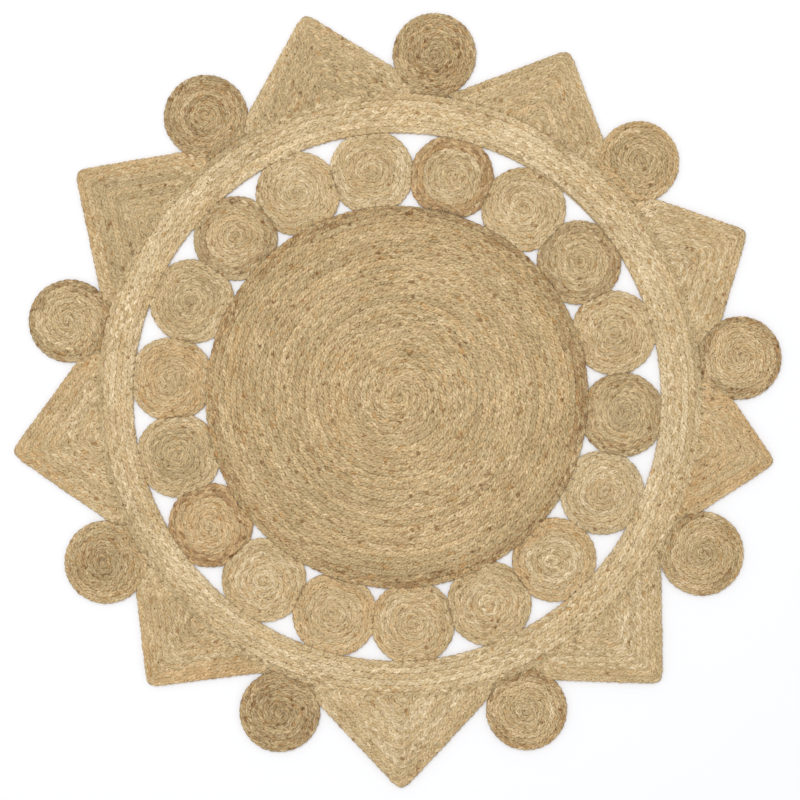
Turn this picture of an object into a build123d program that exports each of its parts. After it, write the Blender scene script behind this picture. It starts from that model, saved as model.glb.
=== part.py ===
"""Round openwork area rug, hand-braided from plant fibre.

Every coil is one long three-strand plait wound flat and sewn to its neighbours: a large centre
disc, a wreath of small medallions, a border ring, and a scalloped edge of discs and triangular
petals. Each coil is its own solid. The thread that joins one coil to the next lies in short
grooves across the seams.

Millimetres. +Z is up and z = 0 is the floor. The origin is the middle of the centre disc's
underside. Angles are counted from +X towards +Y.
"""

from build123d import *
import math
import os

# ---- driving dimensions -------------------------------------------------------------------
RUG_THICKNESS = 9.0
PLAIT_WIDTH = 10.0
SEAM_GAP = 0.5
CORNER_ROUND = 0.33 * PLAIT_WIDTH

CENTRE_DISC_RADIUS = 296.0

MEDALLION_RADIUS = 65.0
MEDALLION_DISTANCE = 350.0
MEDALLION_ANGLES = (
    16.5, 36.5, 56.0, 76.0, 96.5, 116.0, 135.5, 155.0, 175.5,
    195.0, 214.5, 234.0, 254.0, 274.0, 294.0, 314.0, 335.0, 355.5,
)

RING_INNER_RADIUS = 409.0
RING_OUTER_RADIUS = 468.0
RING_OUTER_SHIFT = (4.0, 2.0)

# angle and distance of each outer disc's middle, and its radius; the coils were placed by eye
OUTER_DISCS = (
    (6.5, 534.0, 64.0), (44.25, 521.4, 62.5), (83.75, 532.8, 64.3),
    (124.3, 524.9, 64.5), (166.9, 519.2, 63.8), (209.55, 517.7, 64.0),
    (249.55, 519.5, 62.0), (292.5, 523.6, 62.3), (332.8, 530.0, 64.8),
)

# angle and distance of each petal's tip before it is rounded, then how far out its two straight
# sides would cross the middle lines of the discs before and after it; petal k stands between
# discs k and k + 1
PETALS = (
    (25.4, 601.0, 486.0, 470.0),
    (63.6, 600.0, 479.0, 458.0),
    (103.65, 611.5, 478.0, 463.0),
    (144.85, 609.0, 472.0, 458.5),
    (188.2, 604.0, 468.5, 457.0),
    (229.2, 592.0, 472.5, 447.5),
    (270.65, 610.0, 461.5, 462.0),
    (312.8, 604.0, 472.0, 457.5),
    (350.2, 595.5, 466.0, 482.0),
)
PETAL_TIP_ROUND = 10.0

THREAD_RADIUS = 0.9
THREAD_LENGTH = 14.0
THREAD_SIDE_PLAY = 0.25
THREAD_DEPTH = 0.3
STITCH_SPACING = 20.0
PETAL_STITCH_ANGLE = 4.5
# where the thread to the petals before and after each disc crosses the disc's rim, counted from
# the point nearest the ring; the petals before discs 3 and 7 end short of them and have none
FLANK_STITCH_ANGLES = (
    (45.0, 45.0), (55.0, 55.0), (None, 42.0), (42.0, 48.0), (42.0, 48.0),
    (44.0, 52.0), (None, 44.0), (38.0, 46.0), (32.0, 42.0),
)


# ---- small helpers ------------------------------------------------------------------------
def polar(angle, distance):
    """Point at an angle in degrees and a distance from the origin."""
    turn = math.radians(angle)
    return (distance * math.cos(turn), distance * math.sin(turn))


def disc_at(centre, radius):
    return Pos(centre[0], centre[1]) * Circle(radius)


def plait_outline(outline):
    """Round every corner a little: a plait can't turn sharply, nor fill a narrow cusp."""
    shrunk = offset(outline, -CORNER_ROUND, kind=Kind.ARC)
    return offset(shrunk, CORNER_ROUND, kind=Kind.ARC)


def slab(outline):
    """One flat coil: an outline raised to the rug's thickness."""
    return extrude(outline, RUG_THICKNESS)


def wedge(start, end, length):
    """Triangle from the origin that holds every direction between two angles."""
    reach = length / math.cos(math.radians((end - start) / 2))
    return make_face(Polyline((0, 0), polar(start, reach), polar(end, reach), close=True))


# ---- the coils ----------------------------------------------------------------------------
def make_centre_disc():
    return slab(Circle(CENTRE_DISC_RADIUS))


def medallion_sides(index):
    """Angles halfway to the medallions on either side."""
    count = len(MEDALLION_ANGLES)
    here = MEDALLION_ANGLES[index]
    before = MEDALLION_ANGLES[index - 1] - (360 if index == 0 else 0)
    after = MEDALLION_ANGLES[(index + 1) % count] + (360 if index == count - 1 else 0)
    return (here + before) / 2, (here + after) / 2


def make_medallion(index):
    """A round coil pressed flat where it meets its four neighbours."""
    start, end = medallion_sides(index)
    half_gap_angle = math.degrees(SEAM_GAP / 2 / MEDALLION_DISTANCE)
    outline = disc_at(polar(MEDALLION_ANGLES[index], MEDALLION_DISTANCE), MEDALLION_RADIUS)
    outline &= wedge(start + half_gap_angle, end - half_gap_angle, RING_OUTER_RADIUS)
    outline &= Circle(RING_INNER_RADIUS - SEAM_GAP)
    outline -= Circle(CENTRE_DISC_RADIUS + SEAM_GAP)
    return slab(plait_outline(outline))


def ring_outer_disc(extra):
    return disc_at(RING_OUTER_SHIFT, RING_OUTER_RADIUS + extra)


def make_border_ring():
    return slab(ring_outer_disc(0) - Circle(RING_INNER_RADIUS))


def outer_disc_circle(index, extra):
    angle, distance, radius = OUTER_DISCS[index]
    return disc_at(polar(angle, distance), radius + extra)


def make_outer_disc(index):
    """A round coil pressed flat where it is sewn to the ring."""
    outline = outer_disc_circle(index, 0)
    outline -= ring_outer_disc(SEAM_GAP)
    return slab(plait_outline(outline))


def make_petal(index):
    """A triangular coil that fills the ring between two discs and hugs their flanks."""
    next_disc = (index + 1) % len(OUTER_DISCS)
    tip_angle, tip_distance, start_distance, end_distance = PETALS[index]
    base_start = polar(OUTER_DISCS[index][0], start_distance)
    base_end = polar(OUTER_DISCS[next_disc][0], end_distance)
    tip = polar(tip_angle, tip_distance)
    inside = polar(tip_angle, RING_INNER_RADIUS)
    outline = make_face(Polyline(base_start, tip, base_end, inside, close=True))
    tip_corner = outline.vertices().sort_by_distance((tip[0], tip[1], 0))[0]
    outline = fillet(tip_corner, PETAL_TIP_ROUND)
    outline -= ring_outer_disc(SEAM_GAP)
    outline -= outer_disc_circle(index, SEAM_GAP)
    outline -= outer_disc_circle(next_disc, SEAM_GAP)
    return slab(plait_outline(outline))


# ---- the sewing thread --------------------------------------------------------------------
def stitch_place(centre, direction):
    """Where a stitch lies: its middle on the seam, its length across the seam."""
    height = RUG_THICKNESS - THREAD_DEPTH - THREAD_RADIUS
    return Pos(centre[0], centre[1], height) * Rot(0, 0, direction)


def ring_outer_distance(angle):
    """Distance from the origin to the ring's outer rim, whose circle is a little off centre."""
    shift_x, shift_y = RING_OUTER_SHIFT
    turn = math.radians(angle)
    along = shift_x * math.cos(turn) + shift_y * math.sin(turn)
    across = shift_x * math.sin(turn) - shift_y * math.cos(turn)
    return along + math.sqrt(RING_OUTER_RADIUS**2 - across**2)


def stitches_on_arc(angles, distance, count):
    """Stitches side by side along a round seam, centred on each angle given."""
    places = []
    for angle in angles:
        for step in range(count):
            shift = (step - (count - 1) / 2) * STITCH_SPACING
            turned = angle + math.degrees(shift / distance)
            places.append(stitch_place(polar(turned, distance), turned))
    return places


def medallion_side_stitches():
    places = []
    for index in range(len(MEDALLION_ANGLES)):
        side = medallion_sides(index)[1]
        for shift in (-STITCH_SPACING / 2, STITCH_SPACING / 2):
            places.append(stitch_place(polar(side, MEDALLION_DISTANCE + shift), side + 90))
    return places


def outer_disc_stitches():
    places = []
    for angle, _, _ in OUTER_DISCS:
        seam = ring_outer_distance(angle) + SEAM_GAP / 2
        for shift in (-STITCH_SPACING / 2, STITCH_SPACING / 2):
            turned = angle + math.degrees(shift / seam)
            places.append(stitch_place(polar(turned, seam), turned))
    return places


def petal_base_stitches():
    places = []
    for tip_angle, _, _, _ in PETALS:
        for step in (-2.5, -1.5, -0.5, 0.5, 1.5, 2.5):
            angle = tip_angle + step * PETAL_STITCH_ANGLE
            seam = ring_outer_distance(angle) + SEAM_GAP / 2
            places.append(stitch_place(polar(angle, seam), angle))
    return places


def petal_flank_stitches():
    places = []
    for (angle, distance, radius), flanks in zip(OUTER_DISCS, FLANK_STITCH_ANGLES):
        middle = polar(angle, distance)
        for side, flank in zip((1, -1), flanks):
            if flank is None:
                continue
            outward = angle + 180 + side * flank
            reach = polar(outward, radius + SEAM_GAP / 2)
            places.append(stitch_place((middle[0] + reach[0], middle[1] + reach[1]), outward))
    return places


def make_threads(places):
    thread = Rot(0, 90, 0) * Cylinder(THREAD_RADIUS, THREAD_LENGTH)
    return [place * thread for place in places]


def cut_grooves(body, places):
    """Open a groove in a slab for each stitch that reaches it."""
    width = 2 * (THREAD_RADIUS + THREAD_SIDE_PLAY)
    depth = 2 * THREAD_RADIUS + THREAD_DEPTH + THREAD_SIDE_PLAY
    lift = THREAD_RADIUS + THREAD_DEPTH - depth / 2
    groove = Pos(0, 0, lift + 0.5) * Box(THREAD_LENGTH + 2 * THREAD_SIDE_PLAY, width, depth + 1)
    box = body.bounding_box()
    near = []
    for place in places:
        x, y = place.position.X, place.position.Y
        inside_x = box.min.X - THREAD_LENGTH < x < box.max.X + THREAD_LENGTH
        inside_y = box.min.Y - THREAD_LENGTH < y < box.max.Y + THREAD_LENGTH
        if inside_x and inside_y:
            near.append(place * groove)
    return body - near


def write_node(name, shape):
    export_step(shape, "parts/" + name + ".step")


# ---- build --------------------------------------------------------------------------------
os.makedirs("parts", exist_ok=True)

STITCHES = {
    "stitches_centre": stitches_on_arc(
        MEDALLION_ANGLES, CENTRE_DISC_RADIUS + SEAM_GAP / 2, 3
    ),
    "stitches_medallions": medallion_side_stitches(),
    "stitches_ring_inside": stitches_on_arc(
        MEDALLION_ANGLES, RING_INNER_RADIUS - SEAM_GAP / 2, 3
    ),
    "stitches_outer_discs": outer_disc_stitches(),
    "stitches_petal_bases": petal_base_stitches(),
    "stitches_petal_flanks": petal_flank_stitches(),
}
ALL_PLACES = [place for places in STITCHES.values() for place in places]

write_node("centre_disc", cut_grooves(make_centre_disc(), STITCHES["stitches_centre"]))
write_node("border_ring", cut_grooves(make_border_ring(), ALL_PLACES))
for number in range(len(MEDALLION_ANGLES)):
    write_node(f"medallion_{number + 1:02d}", cut_grooves(make_medallion(number), ALL_PLACES))
for number in range(len(OUTER_DISCS)):
    write_node(f"outer_disc_{number + 1}", cut_grooves(make_outer_disc(number), ALL_PLACES))
    write_node(f"petal_{number + 1}", cut_grooves(make_petal(number), ALL_PLACES))
for name, places in STITCHES.items():
    write_node(name, Compound(children=make_threads(places)))
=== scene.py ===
"""Looks of the round openwork rug: every coil is a real three-strand plait, wound row by row.

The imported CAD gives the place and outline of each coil. This script winds a plait inside each
outline, so that the rows, strands and crossings are geometry; fibres come from the materials.
Lengths are in metres.
"""

import math

import bpy
import numpy as np
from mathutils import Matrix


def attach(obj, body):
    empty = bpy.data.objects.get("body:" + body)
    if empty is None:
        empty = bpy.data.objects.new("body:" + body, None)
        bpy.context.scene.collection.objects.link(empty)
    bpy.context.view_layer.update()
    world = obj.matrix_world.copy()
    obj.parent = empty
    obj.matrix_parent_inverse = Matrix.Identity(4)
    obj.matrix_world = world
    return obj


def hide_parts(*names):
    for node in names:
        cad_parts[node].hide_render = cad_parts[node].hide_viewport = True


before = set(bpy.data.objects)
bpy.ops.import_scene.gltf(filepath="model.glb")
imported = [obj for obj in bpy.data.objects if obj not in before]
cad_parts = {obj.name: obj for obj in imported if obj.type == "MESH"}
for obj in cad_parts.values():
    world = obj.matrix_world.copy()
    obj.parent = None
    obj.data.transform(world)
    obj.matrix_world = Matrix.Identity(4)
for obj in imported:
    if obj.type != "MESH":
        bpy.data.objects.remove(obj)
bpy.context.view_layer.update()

MM = 0.001
ORIGIN = np.zeros(2)
TINY = 1e-12

# ---- the plait ----------------------------------------------------------------------------
ROW_PITCH = 9.8 * MM
STRAND_HALF_WIDTH = 3.05 * MM
STRAND_HALF_THICKNESS = 3.35 * MM
SWAY = 2.90 * MM
CROSSING_LIFT = 0.70 * MM
FLOOR_CLEARANCE = 0.4 * MM
SECTION_FLATNESS = 0.72
SECTION_SIDES = 8
SAMPLES_PER_PERIOD = 14
FACES_PER_PIECE = 80000

# plait period, the length in which one strand goes out and back, for each kind of coil
PERIOD = {
    "centre": 36.0 * MM,
    "ring": 31.0 * MM,
    "medallion": 33.0 * MM,
    "outer_disc": 31.0 * MM,
    "petal": 31.0 * MM,
}

# the length over which the plait thins towards its first and its last end
THIN_ENDS = {
    "centre": (30.0 * MM, 3.0 * MM),
    "ring": (30.0 * MM, 30.0 * MM),
    "medallion": (20.0 * MM, 3.0 * MM),
    "outer_disc": (20.0 * MM, 3.0 * MM),
    "petal": (4.0 * MM, 4.0 * MM),
}
# share of the width that is left at an end, and of the thickness that never shrinks
END_WIDTH = 0.25
LEAST_THICKNESS = 0.4
# limits of how narrow and how wide a squeezed plait gets, and of what that does to its thickness
WIDTH_LIMITS = (0.12, 2)
THICKNESS_WIDTH_LIMITS = (0.2, 1)

# width of one row in the round coils, and the number of rows in the ring
DISC_PITCH = {"centre": 9.7 * MM, "medallion": 8.4 * MM, "outer_disc": 8.5 * MM}
RING_ROWS = 6

# how far the handwork strays from even: (amount, wavelength) of each smooth random curve
PERIOD_STRAY = ((0.07, 0.12),)
PHASE_STRAY = ((0.55, 0.022),)
PLUMPNESS_STRAY = ((0.08, 0.03), (0.08, 0.009))
SIDEWAYS_STRAY = ((0.35 * MM, 0.013),)
HEIGHT_STRAY = ((0.20 * MM, 0.025), (0.15 * MM, 0.010))
BRIGHTNESS_STRAY = ((0.13, 0.010), (0.08, 0.05))
# the row itself strays too: how far, and the wavelength along x and along y
PATH_STRAY = 0.25 * MM
PATH_STRAY_WAVELENGTHS = (0.05, 0.06)

# first random seed of each kind of coil; the coils of a kind count on from it
FIRST_SEED = {"centre": 11, "ring": 12, "medallion": 20, "outer_disc": 50, "petal": 70}

# ---- fibre colours, linear ------------------------------------------------------------------
STRAW = np.array((0.640, 0.482, 0.264))
PALE = np.array((0.750, 0.615, 0.400))
ORANGE = np.array((0.630, 0.420, 0.205))
GREYED = np.array((0.500, 0.387, 0.216))
BROWN = np.array((0.350, 0.205, 0.095))

# straw that is darker is also browner: how strongly red, green and blue follow the brightness
BRIGHTNESS_SHARES = np.array((0.88, 1.0, 1.30))

# painted light and shade: a strand is paler on its lit crown and darker, browner down its shaded
# sides
SIDE_PAINTED_SHADE = np.array((0.80, 0.68, 0.50))
CROWN_PAINTED_LIGHT = np.array((0.99, 0.99, 1.00))

# how much of each fibre colour a tone has: pale, orange, greyed, brown; then its brightness and
# how many dark flecks it has
TONES = {
    "centre": (0.16, 0.20, 0.44, 0.10, 0.91, 2.0),
    "centre_rim": (0.10, 0.34, 0.40, 0.36, 0.88, 5.0),
    "ring": (0.56, 0.04, 0.18, 0.03, 0.94, 0.7),
    "ring_rim": (0.30, 0.06, 0.50, 0.06, 0.90, 1.5),
    "pale": (0.50, 0.12, 0.24, 0.02, 0.89, 0.8),
    "straw": (0.34, 0.18, 0.28, 0.04, 0.88, 1.2),
    "green": (0.22, 0.10, 0.58, 0.05, 0.88, 1.6),
    "gold": (0.20, 0.42, 0.20, 0.05, 0.88, 1.2),
    "russet": (0.10, 0.75, 0.06, 0.42, 0.84, 5.0),
    "brown": (0.14, 0.28, 0.46, 0.24, 0.84, 6.0),
}
# tone of each coil inside and in its outer rows
CENTRE_TONES = ("centre", "centre_rim")
RING_TONES = ("ring", "ring_rim")
MEDALLION_TONES = (
    ("straw", "straw"), ("green", "brown"), ("straw", "straw"), ("straw", "russet"),
    ("straw", "pale"), ("pale", "straw"), ("straw", "brown"), ("green", "straw"),
    ("gold", "gold"), ("green", "straw"), ("gold", "russet"), ("pale", "straw"),
    ("straw", "gold"), ("straw", "straw"), ("pale", "straw"), ("pale", "gold"),
    ("pale", "pale"), ("green", "brown"),
)
OUTER_DISC_TONES = (
    ("straw", "brown"), ("green", "gold"), ("brown", "brown"), ("brown", "brown"),
    ("straw", "brown"), ("brown", "straw"), ("brown", "brown"), ("straw", "brown"),
    ("straw", "brown"),
)
PETAL_TONES = (
    ("pale", "straw"), ("straw", "straw"), ("green", "straw"), ("green", "gold"),
    ("straw", "gold"), ("straw", "gold"), ("pale", "straw"), ("pale", "straw"),
    ("gold", "gold"),
)
# how many rows of each kind of coil have the rim's tone, how unevenly that ends, and over how
# much of a row one tone fades into the other
RIM_ROWS = {"centre": 1.7, "ring": 1.1, "medallion": 1.9, "outer_disc": 1.6, "petal": 2.3}
RIM_STRAY = 0.45
RIM_FADE = 0.2

# brightness of the rows by how deep they lie under the rim: (depths in rows, brightness there)
SHADE = {
    "centre": ((0.5, 2.0, 4.0, 9.0), (0.90, 0.94, 0.98, 1.02)),
    "ring": ((0.5, 0.95, 1.2, 1.6, 2.4, 5.0, 5.5), (1.01, 0.96, 0.93, 0.97, 1.00, 1.00, 0.93)),
    "medallion": ((0.5, 1.5, 3.0, 5.5, 7.0), (0.99, 1.01, 1.01, 1.01, 0.94)),
    "outer_disc": ((0.5, 1.5, 3.0, 6.0), (0.97, 1.02, 1.02, 0.96)),
    "petal": ((0.5, 1.5, 3.0), (0.99, 1.00, 1.00)),
}

# patches over the whole rug: (wavelength, seed) of each, and how strongly the first two shade it
FINE_PATCHES = (0.020, 5)
FINE_PATCH_SHADE = 0.065
BROAD_PATCHES = (0.060, 6)
BROAD_PATCH_SHADE = 0.04
ORANGE_PATCHES = (0.026, 7)
RIM_PATCHES = (0.040, 8)

# length over which the bundles of each fibre colour come and go, how sharply they do, and the
# least and the most that a bundle covers
BUNDLE_LENGTHS = {"pale": 0.09, "orange": 0.14, "greyed": 0.22, "brown": 0.04}
BUNDLE_SHARPNESS = 0.9
BUNDLE_COVER = 0.30
BUNDLE_COVER_LIMIT = 0.90
# above this level an orange patch adds to the orange fibre, this strongly
ORANGE_PATCH_LEVEL = 0.25
ORANGE_PATCH_GAIN = 0.30

# dark specks and longer rusty streaks: chance per sample, length in samples, and how much of
# each colour they take away
FLECKS = (
    (0.0022, 1, np.array((0.42, 0.54, 0.64))),
    (0.0022, 2, np.array((0.42, 0.54, 0.64))),
    (0.0030, 5, np.array((0.12, 0.24, 0.38))),
)


# ---- noise and small maths ------------------------------------------------------------------
FIELD_HALF_SIZE = 1.0


def smooth(value):
    """Ease from 0 to 1, flat at both ends."""
    value = np.clip(value, 0.0, 1.0)
    return value * value * (3 - 2 * value)


def wander(rng, places, wavelength):
    """Smooth random curve, about -1 to 1, that changes over a wavelength."""
    cells = int(np.max(places) / wavelength) + 3
    knots = rng.uniform(-1, 1, cells)
    position = places / wavelength
    low = np.floor(position).astype(int)
    part = smooth(position - low)
    return knots[low] * (1 - part) + knots[low + 1] * part


def stray(rng, places, curves):
    """Sum of smooth random curves, given as (amount, wavelength)."""
    return sum(amount * wander(rng, places, wavelength) for amount, wavelength in curves)


def patches(points, wavelength, seed):
    """Smooth random field over the whole rug, about -1 to 1."""
    position = (points + FIELD_HALF_SIZE) / wavelength
    count = int(2 * FIELD_HALF_SIZE / wavelength) + 3
    knots = np.random.default_rng(seed).uniform(-1, 1, (count, count))
    cell = np.floor(position).astype(int)
    part = smooth(position - cell)
    x, y = cell[:, 0], cell[:, 1]
    near = knots[x, y] * (1 - part[:, 0]) + knots[x + 1, y] * part[:, 0]
    far = knots[x, y + 1] * (1 - part[:, 0]) + knots[x + 1, y + 1] * part[:, 0]
    return near * (1 - part[:, 1]) + far * part[:, 1]


def unit(vectors):
    """The same directions with a length of 1."""
    return vectors / np.maximum(np.linalg.norm(vectors, axis=-1, keepdims=True), TINY)


def directions(angles):
    """Unit vectors that point at each angle."""
    return np.stack((np.cos(angles), np.sin(angles)), axis=-1)


def angles_of(points):
    """Angle of each point as seen from the origin, from 0 to a full turn."""
    return np.mod(np.arctan2(points[:, 1], points[:, 0]), 2 * np.pi)


def at_least(floor, share):
    """Scale a share of 0 to 1 so that it starts at a floor."""
    return floor + (1 - floor) * share


# ---- reading a coil's outline from the frame ----------------------------------------------------
UNDERSIDE = 0.1 * MM
FACES_DOWN = -0.9
OUTLINE_ANGLES = np.linspace(0, 2 * np.pi, 721)


def underside_edges(node):
    """Both ends of every edge in a slab's underside."""
    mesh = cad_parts[node].data
    points = np.empty(len(mesh.vertices) * 3)
    mesh.vertices.foreach_get("co", points)
    points = points.reshape(-1, 3)
    edges = np.empty(len(mesh.edges) * 2, dtype=np.int32)
    mesh.edges.foreach_get("vertices", edges)
    edges = edges.reshape(-1, 2)
    edges = edges[(points[edges, 2] < UNDERSIDE).all(axis=1)]
    return points[edges[:, 0], :2], points[edges[:, 1], :2]


def underside_centroid(node):
    """Middle of the area of a slab's underside."""
    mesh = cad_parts[node].data
    total = 0.0
    moment = np.zeros(2)
    for polygon in mesh.polygons:
        if polygon.normal.z < FACES_DOWN and polygon.center.z < UNDERSIDE:
            total += polygon.area
            moment += polygon.area * np.array(polygon.center[:2])
    return moment / total


def reach(node, centre, angles, nearest=False):
    """Distance from a centre to a slab's outline in each direction, or to its inner rim."""
    start, end = underside_edges(node)
    start = start - centre
    end = end - centre
    along_x = np.cos(angles)[:, None]
    along_y = np.sin(angles)[:, None]
    side_start = along_x * start[:, 1] - along_y * start[:, 0]
    side_end = along_x * end[:, 1] - along_y * end[:, 0]
    crossed = (side_start * side_end <= 0) & (np.abs(side_start - side_end) > TINY)
    share = np.where(crossed, side_start / np.where(crossed, side_start - side_end, 1.0), 0.0)
    hit_x = start[:, 0] + share * (end[:, 0] - start[:, 0])
    hit_y = start[:, 1] + share * (end[:, 1] - start[:, 1])
    distance = along_x * hit_x + along_y * hit_y
    ahead = crossed & (distance > 0)
    if nearest:
        return np.min(np.where(ahead, distance, np.inf), axis=1)
    return np.max(np.where(ahead, distance, 0.0), axis=1)


RING_OUTER_RIM = reach("border_ring", ORIGIN, OUTLINE_ANGLES)


def ring_rim_towards(points):
    """Distance from the origin to the ring's outer rim in the direction of each point."""
    return np.interp(angles_of(points), OUTLINE_ANGLES, RING_OUTER_RIM)


# ---- winding the round coils and the ring -------------------------------------------------------
# part of a turn in which the plait steps one row inwards
JOG = 0.2
PATH_STEPS_PER_TURN = 720
# the rows of a pressed coil are fully round from 1 / 1.2 of the way to its middle
ROUND_BEFORE_MIDDLE = 1.2


def winding(rows, ends_inside):
    """Turns of a coil, how many rows deep each point lies, and how wide the plait is there.

    Rows stay parallel to the outline for most of a turn and step one row inwards at the end of
    it. The plait starts thin, and fills the wedge that the first step leaves.
    """
    turns = np.arange(-JOG, rows, 1 / PATH_STEPS_PER_TURN)
    whole = np.floor(turns)
    step = smooth((turns - whole - (1 - JOG)) / JOG)
    depth = whole + step + 0.5
    width = np.ones(len(turns))
    starting = turns < 0
    width[starting] = step[starting]
    depth[starting] = step[starting] / 2
    if ends_inside:
        ending = turns > rows - JOG
        width[ending] = 1 - step[ending]
        depth[ending] = rows - 0.5 + step[ending] / 2
    return turns, depth, width


def disc_path(node, pitch, start_angle, hand):
    """Plait path that fills a disc-like outline from its rim to its middle."""
    centre = underside_centroid(node)
    outline = reach(node, centre, OUTLINE_ANGLES)
    mean_reach = outline.mean()
    # a whole number of rows, so that the last one closes round the middle
    rows = round(mean_reach / pitch)
    turns, depth, width = winding(rows - JOG, False)
    angle = start_angle + hand * 2 * np.pi * turns
    here = np.interp(np.mod(angle, 2 * np.pi), OUTLINE_ANGLES, outline)
    inner_share = np.maximum(1 - depth / rows, 0.0)
    # towards the middle the rows forget the pressed outline and become round
    blend = smooth(1 - depth / rows * ROUND_BEFORE_MIDDLE)
    radius = inner_share * (here * blend + mean_reach * (1 - blend))
    pressed = 1 + (here / mean_reach - 1) * blend
    width = width * pressed * mean_reach / rows / ROW_PITCH
    return centre + radius[:, None] * directions(angle), width, depth


def ring_path(node, rows, start_angle, hand):
    """Plait path that fills a ring from its outer to its inner rim."""
    outer = reach(node, ORIGIN, OUTLINE_ANGLES)
    inner = reach(node, ORIGIN, OUTLINE_ANGLES, nearest=True)
    turns, depth, width = winding(rows, True)
    angle = start_angle + hand * 2 * np.pi * turns
    turned = np.mod(angle, 2 * np.pi)
    far = np.interp(turned, OUTLINE_ANGLES, outer)
    near = np.interp(turned, OUTLINE_ANGLES, inner)
    radius = far + (near - far) * depth / rows
    width = width * (far - near) / rows / ROW_PITCH
    return radius[:, None] * directions(angle), width, depth


# ---- laying the rows of a petal ---------------------------------------------------------------
PETAL_RIM_POINTS = 1440
# every second point of the rim is near enough to the next to measure a depth from
PETAL_RIM_SKIP = 2
# the rim is free where it lies this far outside the ring
PETAL_FREE_EDGE = 3 * MM
# rays over the petal start this far inside the ring's rim, and spread this far to each side
PETAL_FOCUS_DEPTH = 30.0 * MM
PETAL_RAY_LIMIT = 1.85
PETAL_RAYS = 260
PETAL_STEP = 1.0 * MM
# a row's bends are evened out over this many steps each way; it ends this far under the ring's rim
PETAL_ROUNDING = 9
PETAL_ROOT = 3.0 * MM
# a row that fewer rays cross, or that has fewer points left, is too short to lay
FEWEST_ROW_RAYS = 12
FEWEST_ROW_POINTS = 9
# the plait lies this much wider than a row, and within these limits where it turns a corner
PETAL_PLAIT_WIDTH = 1.07
CORNER_FILL_LIMITS = (0.9, 1.5)
LEAST_SLANT_SQUARED = 0.01


def resample(points, width, step):
    """Even steps along a path, the width there, and how far along each given point lay."""
    length = np.concatenate(([0], np.cumsum(np.linalg.norm(np.diff(points, axis=0), axis=1))))
    places = np.arange(0, length[-1], step)
    x = np.interp(places, length, points[:, 0])
    y = np.interp(places, length, points[:, 1])
    return places, np.stack((x, y), axis=1), np.interp(places, length, width), length


def running_mean(values, half):
    """Mean of each point and its neighbours, up to half a window on either side."""
    padded = np.concatenate((values[:1].repeat(half, 0), values, values[-1:].repeat(half, 0)))
    kernel = np.ones(2 * half + 1) / (2 * half + 1)
    return np.stack([np.convolve(padded[:, k], kernel, mode="valid") for k in range(2)], axis=1)


def free_rim(node):
    """The part of a petal's rim that isn't sewn to the ring, and the direction of the tip."""
    centroid = underside_centroid(node)
    angles = np.linspace(0, 2 * np.pi, PETAL_RIM_POINTS, endpoint=False)
    rim = centroid + reach(node, centroid, angles)[:, None] * directions(angles)
    distance = np.linalg.norm(rim, axis=1)
    free = rim[distance > ring_rim_towards(rim) + PETAL_FREE_EDGE]
    return free, unit(rim[np.argmax(distance)])


def depth_under(rim, spots):
    """Distance from each spot to the nearest point of a rim."""
    depth = np.full(spots.shape[:2], np.inf)
    for point in rim:
        depth = np.minimum(depth, np.hypot(spots[..., 0] - point[0], spots[..., 1] - point[1]))
    return depth


def row_at(level, depth, focus, rays, steps):
    """The outermost point on each ray that lies a given depth under the free rim."""
    row = []
    for along, ray in zip(depth, rays):
        found = np.nonzero(along >= level)[0]
        if len(found) == 0 or found[-1] + 1 >= len(steps):
            continue
        last = found[-1]
        outside = max(along[last + 1], 0.0)
        share = (along[last] - level) / max(along[last] - outside, TINY)
        if share <= 1:
            row.append(focus + ray * (steps[last] + share * PETAL_STEP))
    return np.array(row)


def settle_row(row):
    """A row with even steps and a gentle bend, cut off just under the ring's rim."""
    row = resample(row, np.ones(len(row)), PETAL_STEP)[1]
    row = running_mean(row, PETAL_ROUNDING)
    return row[np.linalg.norm(row, axis=1) > ring_rim_towards(row) - PETAL_ROOT]


def corner_fill(row, outward):
    """How much wider the plait lies where a row turns round the tip, to close on the next row."""
    along = unit(np.gradient(row, axis=0))
    facing = np.abs(along[:, 0] * outward[1] - along[:, 1] * outward[0])
    across = np.sqrt(np.maximum(1 - facing**2, LEAST_SLANT_SQUARED))
    quarter = max(len(row) // 4, 1)
    sides = np.linspace(across[:quarter].mean(), across[-quarter:].mean(), len(row))
    return np.clip(across / sides, *CORNER_FILL_LIMITS)


def petal_paths(node):
    """Rows of a petal: each runs from the ring up one side, round the tip and back to the ring."""
    free, outward = free_rim(node)
    heading = math.atan2(outward[1], outward[0])
    focus = outward * (ring_rim_towards(outward[None])[0] - PETAL_FOCUS_DEPTH)
    angles = heading + np.linspace(-PETAL_RAY_LIMIT, PETAL_RAY_LIMIT, PETAL_RAYS)
    limit = reach(node, focus, angles)
    steps = np.arange(0, limit.max() + PETAL_STEP, PETAL_STEP)
    rays = directions(angles)
    depth = depth_under(free[::PETAL_RIM_SKIP], focus + rays[:, None, :] * steps[None, :, None])
    outside = steps[None, :] > limit[:, None]
    depth[outside] = -1.0
    paths = []
    level = ROW_PITCH / 2
    while level < depth.max():
        row = row_at(level, depth, focus, rays, steps)
        level += ROW_PITCH
        if len(row) < FEWEST_ROW_RAYS:
            continue
        row = settle_row(row)
        if len(row) >= FEWEST_ROW_POINTS:
            rows_deep = np.full(len(row), len(paths) + 0.5)
            paths.append((row, corner_fill(row, outward) * PETAL_PLAIT_WIDTH, rows_deep))
    return paths


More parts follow.
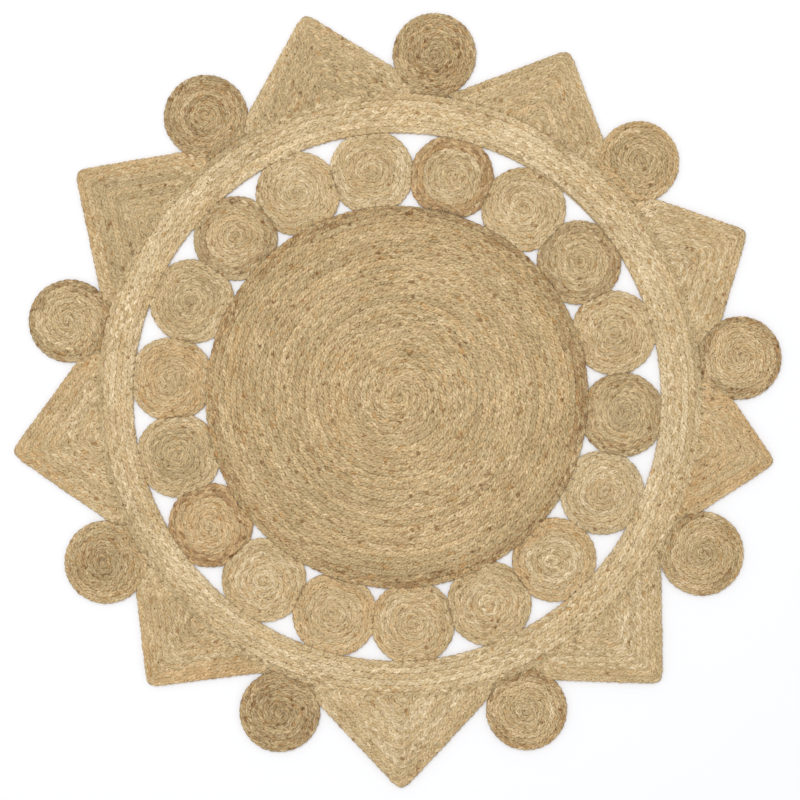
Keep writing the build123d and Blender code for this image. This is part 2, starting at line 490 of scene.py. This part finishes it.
# ---- building the strands -------------------------------------------------------------------
def fibre_colours(rng, tone, places, patch):
    """A strand's colour along its length: bundles of pale, orange, greyed and brown fibre."""
    pale, orange, greyed, brown, gain, flecks = TONES[tone]
    patch_orange = ORANGE_PATCH_GAIN * np.clip(patch - ORANGE_PATCH_LEVEL, 0, 1)
    mixes = (
        (PALE, pale, BUNDLE_LENGTHS["pale"]),
        (ORANGE, orange + patch_orange, BUNDLE_LENGTHS["orange"]),
        (GREYED, greyed, BUNDLE_LENGTHS["greyed"]),
        (BROWN, brown, BUNDLE_LENGTHS["brown"]),
    )
    count = len(places)
    colours = np.tile(STRAW, (count, 1))
    for colour, share, wavelength in mixes:
        bundles = stray(rng, places, ((1.0, wavelength), (0.5, wavelength / 4)))
        cover = np.minimum(BUNDLE_COVER_LIMIT, BUNDLE_COVER + share)
        amount = smooth(0.5 + BUNDLE_SHARPNESS * (bundles - 1 + 2 * share)) * cover
        colours = colours * (1 - amount[:, None]) + colour * amount[:, None]
    brightness = 1 + stray(rng, places, BRIGHTNESS_STRAY)
    for chance, length, loss in FLECKS:
        starts = rng.random(count) < chance * flecks
        fleck = np.clip(np.convolve(starts, np.ones(length), mode="same"), 0, 1)
        colours = colours * (1 - fleck[:, None] * loss)
    return colours * gain * brightness[:, None] ** BRIGHTNESS_SHARES


def shade_of(kind, points, depth):
    """Brightness of a coil at each point: by its row, and in patches over the whole rug."""
    patch_shade = FINE_PATCH_SHADE * patches(points, *FINE_PATCHES)
    patch_shade += BROAD_PATCH_SHADE * patches(points, *BROAD_PATCHES)
    return np.interp(depth, *SHADE[kind]) * (1 + patch_shade)


def rim_share(kind, points, depth):
    """1 in the rows that have the rim's tone, and 0 inside them."""
    rim_edge = RIM_ROWS[kind] + RIM_STRAY * patches(points, *RIM_PATCHES)
    return 1 - smooth((depth - rim_edge) / RIM_FADE + 0.5)


def plait_strands(rng, kind, path, width, depth, tones):
    """Three strands that cross over one another along a path."""
    period = PERIOD[kind]
    places, points, width, length = resample(path, width, period / SAMPLES_PER_PERIOD)
    depth = np.interp(places, length, depth)
    shade = shade_of(kind, points, depth)[:, None] ** BRIGHTNESS_SHARES
    rim = rim_share(kind, points, depth)[:, None]
    patch = patches(points, *ORANGE_PATCHES)
    shifts = [wander(rng, places, wavelength) for wavelength in PATH_STRAY_WAVELENGTHS]
    points = points + PATH_STRAY * np.stack(shifts, axis=1)
    tangent = unit(np.gradient(points, axis=0))
    across = np.stack((-tangent[:, 1], tangent[:, 0]), axis=1)
    local_period = period * (1 + stray(rng, places, PERIOD_STRAY))
    phase = np.cumsum(2 * np.pi * np.gradient(places) / local_period)
    phase += stray(rng, places, PHASE_STRAY)
    thin_start, thin_end = THIN_ENDS[kind]
    taper = np.minimum(smooth(places / thin_start), smooth((places[-1] - places) / thin_end))
    taper = at_least(END_WIDTH, taper)
    squeezed = np.clip(width, *THICKNESS_WIDTH_LIMITS)
    thickness = STRAND_HALF_THICKNESS * at_least(LEAST_THICKNESS, squeezed)
    thickness = thickness * at_least(LEAST_THICKNESS, taper)
    middle_height = FLOOR_CLEARANCE + CROSSING_LIFT + thickness
    strands = []
    for index in range(3):
        turn = phase + index * 2 * np.pi / 3
        plump = 1 + stray(rng, places, PLUMPNESS_STRAY)
        sideways = (SWAY * np.sin(turn) + stray(rng, places, SIDEWAYS_STRAY)) * width
        height = middle_height + CROSSING_LIFT * np.sin(2 * turn)
        height = height + stray(rng, places, HEIGHT_STRAY)
        centres = np.column_stack((points + across * sideways[:, None], height))
        half_width = STRAND_HALF_WIDTH * plump * np.clip(width, *WIDTH_LIMITS) * taper
        inner_colours = fibre_colours(rng, tones[0], places, patch)
        rim_colours = fibre_colours(rng, tones[1], places, patch)
        colours = (inner_colours * (1 - rim) + rim_colours * rim) * shade
        strands.append((centres, half_width, thickness, colours, places))
    return strands


# ---- meshes -----------------------------------------------------------------------------------
# four-sided faces that close the end of an eight-sided tube
END_CAP = np.array(((0, 1, 2, 7), (7, 2, 3, 6), (6, 3, 4, 5)))
# step in the fibre texture from one strand of a coil, and from one coil, to the next
STRAND_LANE = 3.7
COIL_LANE = 0.61


def faces_between(rows, count):
    """Four-sided faces between closed rows of points that follow one another."""
    ring = np.arange(rows - 1)[:, None] * count
    side = np.arange(count)[None, :]
    after = (side + 1) % count
    return np.stack((ring + side, ring + after, ring + count + after, ring + count + side), axis=-1)


def tube(strand, lane):
    """Closed skin of one strand: corner points, four-sided faces, face-corner UVs and colours with
    painted side shade.
    """
    centres, half_width, half_thickness, colours, places = strand
    count = len(centres)
    forward = unit(np.gradient(centres, axis=0))
    sideways = unit(np.stack((-forward[:, 1], forward[:, 0], np.zeros(count)), axis=1))
    upward = np.cross(forward, sideways)
    around = np.arange(SECTION_SIDES) / SECTION_SIDES
    turn = 2 * np.pi * around - np.pi / 2
    wide = np.sign(np.cos(turn)) * np.abs(np.cos(turn)) ** SECTION_FLATNESS
    high = np.sign(np.sin(turn)) * np.abs(np.sin(turn)) ** SECTION_FLATNESS
    skin = (
        centres[:, None, :]
        + sideways[:, None, :] * (half_width[:, None] * wide)[..., None]
        + upward[:, None, :] * (half_thickness[:, None] * high)[..., None]
    )
    end_cap = END_CAP + (count - 1) * SECTION_SIDES
    side_faces = faces_between(count, SECTION_SIDES).reshape(-1, 4)
    faces = np.concatenate((side_faces, END_CAP[:, ::-1], end_cap))
    u_start = np.repeat(places[:-1, None], SECTION_SIDES, axis=1)
    u_end = np.repeat(places[1:, None], SECTION_SIDES, axis=1)
    v_start = np.repeat(around[None, :], count - 1, axis=0) + lane
    v_end = v_start + 1 / SECTION_SIDES
    corners_of_faces = ((u_start, v_start), (u_start, v_end), (u_end, v_end), (u_end, v_start))
    side_uvs = np.stack([np.stack(corner, axis=-1) for corner in corners_of_faces], axis=2)
    cap_v = lane + END_CAP.ravel() / SECTION_SIDES
    start_uvs = np.column_stack((np.full(END_CAP.size, places[0]), cap_v))
    end_uvs = np.column_stack((np.full(END_CAP.size, places[-1]), cap_v))
    uvs = np.concatenate((side_uvs.reshape(-1, 2), start_uvs, end_uvs))
    # painted shade down the strand's sides, painted light on its crown
    crown_light_share = (0.5 + 0.5 * high)[:, None]
    shades = colours[:, None, :] * (SIDE_PAINTED_SHADE + (CROWN_PAINTED_LIGHT - SIDE_PAINTED_SHADE) * crown_light_share)[None]
    return skin.reshape(-1, 3), faces, uvs, shades.reshape(-1, 3)


def mesh_object(name, tubes, material):
    """One object from several tubes."""
    offset = 0
    points, faces, uvs, shades = [], [], [], []
    for skin, quads, corner_uvs, colours in tubes:
        points.append(skin)
        faces.append(quads + offset)
        uvs.append(corner_uvs)
        shades.append(colours)
        offset += len(skin)
    points = np.concatenate(points)
    faces = np.concatenate(faces)
    shades = np.concatenate(shades)
    mesh = bpy.data.meshes.new(name)
    mesh.vertices.add(len(points))
    mesh.vertices.foreach_set("co", points.ravel().astype(np.float32))
    mesh.loops.add(faces.size)
    mesh.loops.foreach_set("vertex_index", faces.ravel().astype(np.int32))
    mesh.polygons.add(len(faces))
    mesh.polygons.foreach_set("loop_start", np.arange(len(faces), dtype=np.int32) * 4)
    mesh.polygons.foreach_set("use_smooth", np.ones(len(faces), dtype=bool))
    mesh.update(calc_edges=True)
    layer = mesh.uv_layers.new(name="strand")
    layer.data.foreach_set("uv", np.concatenate(uvs).ravel().astype(np.float32))
    # fibre tone together with the strands' painted side shade and the filler's painted shade
    tone_and_shade = mesh.color_attributes.new(name="tone_and_shade", type="FLOAT_COLOR", domain="POINT")
    rgba = np.concatenate((shades, np.ones((len(shades), 1))), axis=1)
    tone_and_shade.data.foreach_set("color", rgba.ravel().astype(np.float32))
    mesh.materials.append(material)
    piece = bpy.data.objects.new(name, mesh)
    bpy.context.scene.collection.objects.link(piece)
    return piece


def add_piece(name, node, tubes, material):
    """A visible piece that takes the place of a CAD node."""
    piece = mesh_object(name, tubes, material)
    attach(piece, "root")
    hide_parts(node)


# ---- coils ------------------------------------------------------------------------------------
def cut_strand(strand, first, last):
    """A stretch of a strand, from one sample to another."""
    return tuple(part[first:last] for part in strand)


def coil(name, node, kind, paths, tones, seed, material):
    """The plait of one coil, as one or more pieces, in place of its CAD slab."""
    rng = np.random.default_rng(seed)
    strands = []
    for path, width, depth in paths:
        strands += plait_strands(rng, kind, path, width, depth, tones)
    tubes = []
    total = 0
    number = 1
    for index, strand in enumerate(strands):
        lane = index * STRAND_LANE + seed * COIL_LANE
        first = 0
        while first < len(strand[0]) - 1:
            room = max((FACES_PER_PIECE - total) // SECTION_SIDES, 2)
            last = min(len(strand[0]), first + room + 1)
            tubes.append(tube(cut_strand(strand, first, last), lane))
            total += (last - first - 1) * SECTION_SIDES
            first = last - 1
            if total >= FACES_PER_PIECE - 2 * SECTION_SIDES:
                add_piece(f"{name}_{number}", node, tubes, material)
                tubes, total, number = [], 0, number + 1
    if tubes:
        add_piece(f"{name}_{number}", node, tubes, material)
    add_piece(f"{name}_core", node, [core(f"{name}_core", node, kind)], material)


# ---- the filler under the rows, dark as painted shade in the gaps -------------------------------
CORE_INSET = 1.3 * MM
# next to the ring the filler reaches under it, up to this far from the ring's outer rim
CORE_TUCK = 5.0 * MM
TUCK_START = 20.0 * MM
TUCK_FADE = 12.0 * MM
# radius of the hole in the middle of the filler, under the plait's last turn
CORE_EYE = 0.8 * MM
CORE_HEIGHT = {
    "centre": 5.4 * MM,
    "ring": 5.6 * MM,
    "medallion": 5.8 * MM,
    "outer_disc": 5.4 * MM,
    "petal": 6.6 * MM,
}
CORE_UNDERSIDE = 0.6 * MM
CORE_ROUGHNESS = 0.3 * MM
# painted shade: how bright the filler seen down the gaps between rows is, against straw
CORE_PAINTED_SHADE = {"centre": 0.55, "ring": 0.60, "medallion": 0.65, "outer_disc": 0.50, "petal": 0.75}
CORE_ANGLES = np.linspace(0, 2 * np.pi, 240, endpoint=False)
CORE_SHARES = np.linspace(0, 1, 9)
CORE_UV_SCALE = np.array((1.0, 60.0))


def core_rims(node, kind, centre):
    """Distance from the middle to the filler's inner and outer rim in each direction."""
    far = reach(node, centre, CORE_ANGLES)
    inset = np.full(len(CORE_ANGLES), CORE_INSET)
    if kind in ("outer_disc", "petal"):
        rim = centre + far[:, None] * directions(CORE_ANGLES)
        beyond_ring = np.linalg.norm(rim, axis=1) - ring_rim_towards(rim)
        inset -= (CORE_INSET + CORE_TUCK) * smooth((TUCK_START - beyond_ring) / TUCK_FADE)
    near = np.full(len(CORE_ANGLES), CORE_EYE)
    if kind == "ring":
        near = reach(node, centre, CORE_ANGLES, nearest=True) + CORE_INSET
    return near, far - inset


def core_faces():
    """Closed skin over two layers of points: the top, the underside and both rims."""
    count = len(CORE_ANGLES)
    layer = len(CORE_SHARES) * count
    top = faces_between(len(CORE_SHARES), count)[..., [0, 3, 2, 1]].reshape(-1, 4)
    high = np.arange(count)
    high_after = (high + 1) % count
    inner = np.stack((high, high + layer, high_after + layer, high_after), axis=-1)
    outer = inner + layer - count
    return np.concatenate((top, top[:, ::-1] + layer, inner[:, ::-1], outer))


def core(name, node, kind):
    """Filler under the rows, seen only down the gaps between them; its dark colour is painted
    shade.
    """
    centre = ORIGIN if kind == "ring" else underside_centroid(node)
    near, far = core_rims(node, kind, centre)
    rng = np.random.default_rng(len(name) + int(1000 * abs(centre[0])))
    radius = near[None, :] + (far - near)[None, :] * CORE_SHARES[:, None]
    flat = centre + radius[..., None] * directions(CORE_ANGLES)[None, :, :]
    layers = []
    for height in (CORE_HEIGHT[kind], CORE_UNDERSIDE):
        bumps = CORE_ROUGHNESS * CORE_SHARES[:, None] * rng.uniform(-1, 1, flat.shape[:2])
        layers.append(np.concatenate((flat, (height + bumps)[..., None]), axis=2))
    points = np.concatenate([layer.reshape(-1, 3) for layer in layers])
    faces = core_faces()
    uvs = points[faces.ravel(), :2] * CORE_UV_SCALE
    # painted shade: the filler is a darkened straw
    shades = np.tile(STRAW * CORE_PAINTED_SHADE[kind], (len(points), 1))
    return points, faces, uvs, shades


# ---- sewing thread ----------------------------------------------------------------------------
# radius of each of the two plies, how far apart they lie in radii, and the length of one twist
THREAD_PLY = 0.55 * MM
THREAD_PLY_SPREAD = 0.9
THREAD_TWIST = 4.0 * MM
THREAD_STEPS = 22
# how far the thread stands over its groove, how far its ends dip, and how far it leans at most
THREAD_LIFT = 0.2 * MM
THREAD_DIP = 1.6 * MM
THREAD_LEAN = 0.35
# the twist starts at a random angle up to this, and each ply's brightness lies in this range
THREAD_FIRST_TURN = 6
THREAD_SHADES = (0.6, 0.85)
THREAD_LANE = 0.3
THREAD_SEED_STEP = 7
SAME_PLACE = 0.05 * MM


def loose_parts(node):
    """Corner points of each separate thread in a node."""
    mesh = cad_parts[node].data
    parent = list(range(len(mesh.vertices)))

    def root(vertex):
        while parent[vertex] != vertex:
            parent[vertex] = parent[parent[vertex]]
            vertex = parent[vertex]
        return vertex

    for edge in mesh.edges:
        parent[root(edge.vertices[0])] = root(edge.vertices[1])
    # ends and sides of a thread share places, not corners, so parts are joined where they touch
    places = {}
    for vertex in mesh.vertices:
        key = tuple(round(value / SAME_PLACE) for value in vertex.co)
        parent[root(vertex.index)] = root(places.setdefault(key, vertex.index))
    groups = {}
    for vertex in mesh.vertices:
        groups.setdefault(root(vertex.index), []).append(tuple(vertex.co))
    return [np.array(group) for group in groups.values()]


def sewing(name, node, material):
    """Two-ply thread over each seam, dipping into the plait at both ends."""
    rng = np.random.default_rng(len(node) * THREAD_SEED_STEP)
    tubes = []
    for index, part in enumerate(loose_parts(node)):
        middle = part.mean(axis=0)
        flat = part[:, :2] - middle[:2]
        along = unit(flat[np.argmax(np.linalg.norm(flat, axis=1))])
        half = np.abs(flat @ along).max()
        across = np.array((-along[1], along[0]))
        lean = rng.uniform(-THREAD_LEAN, THREAD_LEAN)
        place = np.linspace(-1, 1, THREAD_STEPS)
        line = middle[:2] + (place * half)[:, None] * (along + lean * across)
        height = middle[2] + THREAD_LIFT - THREAD_DIP * place**2
        turn = 2 * np.pi * place * half / THREAD_TWIST + rng.uniform(0, THREAD_FIRST_TURN)
        places = (place + 1) * half
        for ply in (0, np.pi):
            swing = THREAD_PLY * THREAD_PLY_SPREAD * np.cos(turn + ply)
            rise = THREAD_PLY * THREAD_PLY_SPREAD * np.sin(turn + ply)
            centres = np.column_stack((line + across * swing[:, None], height + rise))
            size = np.full(THREAD_STEPS, THREAD_PLY)
            shades = np.tile(STRAW * rng.uniform(*THREAD_SHADES), (THREAD_STEPS, 1))
            tubes.append(tube((centres, size, size, shades, places), index * THREAD_LANE + ply))
    add_piece(name, node, tubes, material)


# ---- materials --------------------------------------------------------------------------------
# for each slot: fibres round a strand, roughness, sheen and how dark the painted shade in the
# grooves between plies is
JUTE = {
    "centre_plait": (13.0, 0.66, 0.06, 0.95),
    "ring_plait": (13.0, 0.60, 0.08, 0.65),
    "medallion_plait": (13.0, 0.64, 0.06, 0.60),
    "outer_disc_plait": (13.0, 0.68, 0.05, 0.95),
    "petal_plait": (13.0, 0.64, 0.06, 0.60),
    "sewing_thread": (9.0, 0.68, 0.05, 0.95),
}
FIBRE_LENGTHS_PER_METRE = 55.0
ROUGHNESS_SPREAD = 0.12
# the wave texture's diagonal bands turn once in this much of its coordinate
WAVE_TURN = 2 * math.pi / 10
PLY_COUNT = 3
PLY_TURNS_PER_METRE = WAVE_TURN / (6.5 * MM)
# painted shade: share of red, green and blue lost in the grooves between plies; painted light: the
# tint of the plies' crowns
PLY_GROOVE_PAINTED_SHADE = (0.22, 0.28, 0.38)
PLY_CROWN_PAINTED_LIGHT = (1.05, 1.07, 1.10)
FIBRE_STOPS = ((0.30, (0.72, 0.67, 0.58)), (0.70, (1.18, 1.20, 1.23)))
# painted shade in short dark pits between fibre bundles, and short painted highlights on the fibre
PAINTED_SPECK_SCALE = (300.0, 8.0, 1.0)
PAINTED_SPECK_SHIFT = (3.0, 7.0, 0.0)
PAINTED_SPECK_STOPS = (
    (0.31, (0.24, 0.16, 0.09)),
    (0.39, (0.98, 0.97, 0.95)),
    (0.63, (1.0, 1.0, 1.0)),
    (0.74, (1.45, 1.53, 1.68)),
)


def stretched(nodes, links, uvs, scale, shift=(0.0, 0.0, 0.0)):
    """Texture place on a strand: metres along it and turns round it, scaled and shifted."""
    mapping = nodes.new("ShaderNodeMapping")
    mapping.inputs["Location"].default_value = shift
    mapping.inputs["Scale"].default_value = scale
    links.new(uvs.outputs["UV"], mapping.inputs["Vector"])
    return mapping.outputs["Vector"]


def noise(nodes, links, place, detail, roughness):
    """Soft random values over the strand."""
    texture = nodes.new("ShaderNodeTexNoise")
    texture.inputs["Scale"].default_value = 1.0
    texture.inputs["Detail"].default_value = detail
    texture.inputs["Roughness"].default_value = roughness
    links.new(place, texture.inputs["Vector"])
    return texture.outputs["Fac"]


def ply_bands(nodes, links, place):
    """Slanting bands, one for each ply that winds round the strand."""
    texture = nodes.new("ShaderNodeTexWave")
    texture.bands_direction = "DIAGONAL"
    texture.inputs["Scale"].default_value = 1.0
    texture.inputs["Distortion"].default_value = 2.6
    texture.inputs["Detail"].default_value = 2.0
    texture.inputs["Detail Scale"].default_value = 1.6
    links.new(place, texture.inputs["Vector"])
    return texture.outputs["Fac"]


def colour_ramp(nodes, links, value, stops):
    """Colour by value, through stops of (value, colour)."""
    ramp = nodes.new("ShaderNodeValToRGB")
    elements = ramp.color_ramp.elements
    for index, (position, colour) in enumerate(stops):
        element = elements[index] if index < 2 else elements.new(position)
        element.position = position
        element.color = (*colour, 1)
    links.new(value, ramp.inputs["Fac"])
    return ramp.outputs["Color"]


def multiplied(nodes, links, colour, other):
    """One colour darkened or brightened by another."""
    product = nodes.new("ShaderNodeMix")
    product.data_type = "RGBA"
    product.blend_type = "MULTIPLY"
    product.inputs["Factor"].default_value = 1.0
    links.new(colour, product.inputs["A"])
    links.new(other, product.inputs["B"])
    return product.outputs["Result"]


def relief(nodes, links, height, strength, distance):
    """Small bumps that follow a texture's values."""
    bump = nodes.new("ShaderNodeBump")
    bump.inputs["Strength"].default_value = strength
    bump.inputs["Distance"].default_value = distance
    links.new(height, bump.inputs["Height"])
    return bump


def plait_material(slot):
    """Jute strand: fine fibres, twisted plies with painted groove shade, and painted pits and
    highlights over its colour.
    """
    fibres_round, roughness, sheen, ply_groove_shade = JUTE[slot]
    material = bpy.data.materials.new(f"{slot}_jute")
    material.use_nodes = True
    nodes = material.node_tree.nodes
    links = material.node_tree.links
    shader = nodes["Principled BSDF"]
    shader.inputs["Specular IOR Level"].default_value = 0.25
    shader.inputs["Sheen Weight"].default_value = sheen
    shader.inputs["Sheen Roughness"].default_value = 0.5

    uvs = nodes.new("ShaderNodeUVMap")
    uvs.uv_map = "strand"
    fibre_place = stretched(nodes, links, uvs, (FIBRE_LENGTHS_PER_METRE, fibres_round, 1.0))
    fibres = noise(nodes, links, fibre_place, detail=5.0, roughness=0.7)
    ply_scale = (PLY_TURNS_PER_METRE, PLY_COUNT * WAVE_TURN, 1.0)
    plies = ply_bands(nodes, links, stretched(nodes, links, uvs, ply_scale))
    # painted shade in small pits between fibre bundles, and small painted highlights
    painted_speck_place = stretched(nodes, links, uvs, PAINTED_SPECK_SCALE, PAINTED_SPECK_SHIFT)
    painted_specks = noise(nodes, links, painted_speck_place, detail=2.0, roughness=0.5)

    # painted shade in the grooves between plies, painted light on their crowns
    painted_groove_shade = [1 - ply_groove_shade * loss for loss in PLY_GROOVE_PAINTED_SHADE]
    ply_shade_stops = ((0.05, painted_groove_shade), (0.55, PLY_CROWN_PAINTED_LIGHT))
    # fibre tone together with painted side shade and the filler's painted shade
    tone_and_shade = nodes.new("ShaderNodeAttribute")
    tone_and_shade.attribute_name = "tone_and_shade"
    colour = tone_and_shade.outputs["Color"]
    for value, stops in ((fibres, FIBRE_STOPS), (plies, ply_shade_stops), (painted_specks, PAINTED_SPECK_STOPS)):
        colour = multiplied(nodes, links, colour, colour_ramp(nodes, links, value, stops))
    links.new(colour, shader.inputs["Base Color"])

    gloss = nodes.new("ShaderNodeMapRange")
    gloss.inputs["To Min"].default_value = roughness - ROUGHNESS_SPREAD
    gloss.inputs["To Max"].default_value = roughness + ROUGHNESS_SPREAD
    links.new(fibres, gloss.inputs["Value"])
    links.new(gloss.outputs["Result"], shader.inputs["Roughness"])

    fibre_relief = relief(nodes, links, fibres, strength=0.7, distance=0.5 * MM)
    ply_relief = relief(nodes, links, plies, strength=0.6, distance=0.7 * MM)
    links.new(fibre_relief.outputs["Normal"], ply_relief.inputs["Normal"])
    links.new(ply_relief.outputs["Normal"], shader.inputs["Normal"])
    return material


def floor_material():
    material = bpy.data.materials.new("pale_floor")
    material.use_nodes = True
    shader = material.node_tree.nodes["Principled BSDF"]
    shader.inputs["Base Color"].default_value = (0.81, 0.815, 0.83, 1)
    shader.inputs["Roughness"].default_value = 0.9
    shader.inputs["Specular IOR Level"].default_value = 0.1
    return material


# ---- the rug --------------------------------------------------------------------------------
# angle at which each plait starts, and which way round it winds from its rim inwards
CENTRE_START = 2.2
RING_START = 0.4
MEDALLION_START = 3.0
MEDALLION_START_STEP = 0.35
ANTICLOCKWISE = 1
CLOCKWISE = -1

STITCH_NODES = (
    "stitches_centre", "stitches_medallions", "stitches_ring_inside",
    "stitches_outer_discs", "stitches_petal_bases", "stitches_petal_flanks",
)


def build_coil(kind, name, node, paths, tones, index=0):
    coil(name, node, kind, paths, tones, FIRST_SEED[kind] + index, MATERIALS[f"{kind}_plait"])


def build_centre():
    path = disc_path("centre_disc", DISC_PITCH["centre"], CENTRE_START, ANTICLOCKWISE)
    build_coil("centre", "centre_plait", "centre_disc", [path], CENTRE_TONES)


def build_ring():
    path = ring_path("border_ring", RING_ROWS, RING_START, CLOCKWISE)
    build_coil("ring", "ring_plait", "border_ring", [path], RING_TONES)


def build_medallions():
    for index, tones in enumerate(MEDALLION_TONES):
        node = f"medallion_{index + 1:02d}"
        start = MEDALLION_START_STEP * index + MEDALLION_START
        hand = ANTICLOCKWISE if index % 3 else CLOCKWISE
        path = disc_path(node, DISC_PITCH["medallion"], start, hand)
        build_coil("medallion", f"{node}_plait", node, [path], tones, index)


def build_outer_discs():
    for index, tones in enumerate(OUTER_DISC_TONES):
        node = f"outer_disc_{index + 1}"
        middle = underside_centroid(node)
        towards_ring = math.atan2(-middle[1], -middle[0])
        hand = CLOCKWISE if index % 2 else ANTICLOCKWISE
        path = disc_path(node, DISC_PITCH["outer_disc"], towards_ring, hand)
        build_coil("outer_disc", f"{node}_plait", node, [path], tones, index)


def build_threads():
    for node in STITCH_NODES:
        sewing(f"{node}_thread", node, MATERIALS["sewing_thread"])


def build_petals():
    for index, tones in enumerate(PETAL_TONES):
        node = f"petal_{index + 1}"
        build_coil("petal", f"{node}_plait", node, petal_paths(node), tones, index)


# ---- surroundings -----------------------------------------------------------------------------
FLOOR_SIZE = 60
WORLD_STRENGTH = 0.74
LAMP_SIZE = 3.2
LAMP_POWER = 125
LAMP_PLACE = (-0.5, 0.7, 4.5)
LAMP_TILT = (math.radians(-8.8), math.radians(-6.3), 0)
LENS = 85.0
SENSOR_WIDTH = 36.0
VIEW_WIDTH = 1.24
VIEW_MIDDLE = (4.6 * MM, -4.6 * MM)
VIEW_END = 50


def build_floor():
    bpy.ops.mesh.primitive_plane_add(size=FLOOR_SIZE, location=(0, 0, 0))
    floor = bpy.context.object
    floor.name = "floor"
    floor.data.materials.append(floor_material())


def build_light():
    world = bpy.data.worlds.new("studio")
    bpy.context.scene.world = world
    world.use_nodes = True
    background = world.node_tree.nodes["Background"]
    background.inputs["Color"].default_value = (1.0, 1.0, 1.0, 1)
    background.inputs["Strength"].default_value = WORLD_STRENGTH
    lamp = bpy.data.lights.new("overhead", "AREA")
    lamp.shape = "DISK"
    lamp.size = LAMP_SIZE
    lamp.energy = LAMP_POWER
    holder = bpy.data.objects.new("overhead", lamp)
    holder.location = LAMP_PLACE
    holder.rotation_euler = LAMP_TILT
    bpy.context.scene.collection.objects.link(holder)


def build_camera():
    """Camera straight above the rug, as far away as its lens needs to see the view's width."""
    camera = bpy.data.cameras.new("camera")
    camera.lens = LENS
    camera.sensor_width = SENSOR_WIDTH
    camera.clip_end = VIEW_END
    holder = bpy.data.objects.new("camera", camera)
    holder.location = (*VIEW_MIDDLE, VIEW_WIDTH * LENS / SENSOR_WIDTH)
    bpy.context.scene.collection.objects.link(holder)
    bpy.context.scene.camera = holder
    bpy.context.scene.view_settings.view_transform = "Standard"


MATERIALS = {slot: plait_material(slot) for slot in JUTE}
build_centre()
build_ring()
build_medallions()
build_outer_discs()
build_threads()
build_petals()
build_floor()
build_light()
build_camera()
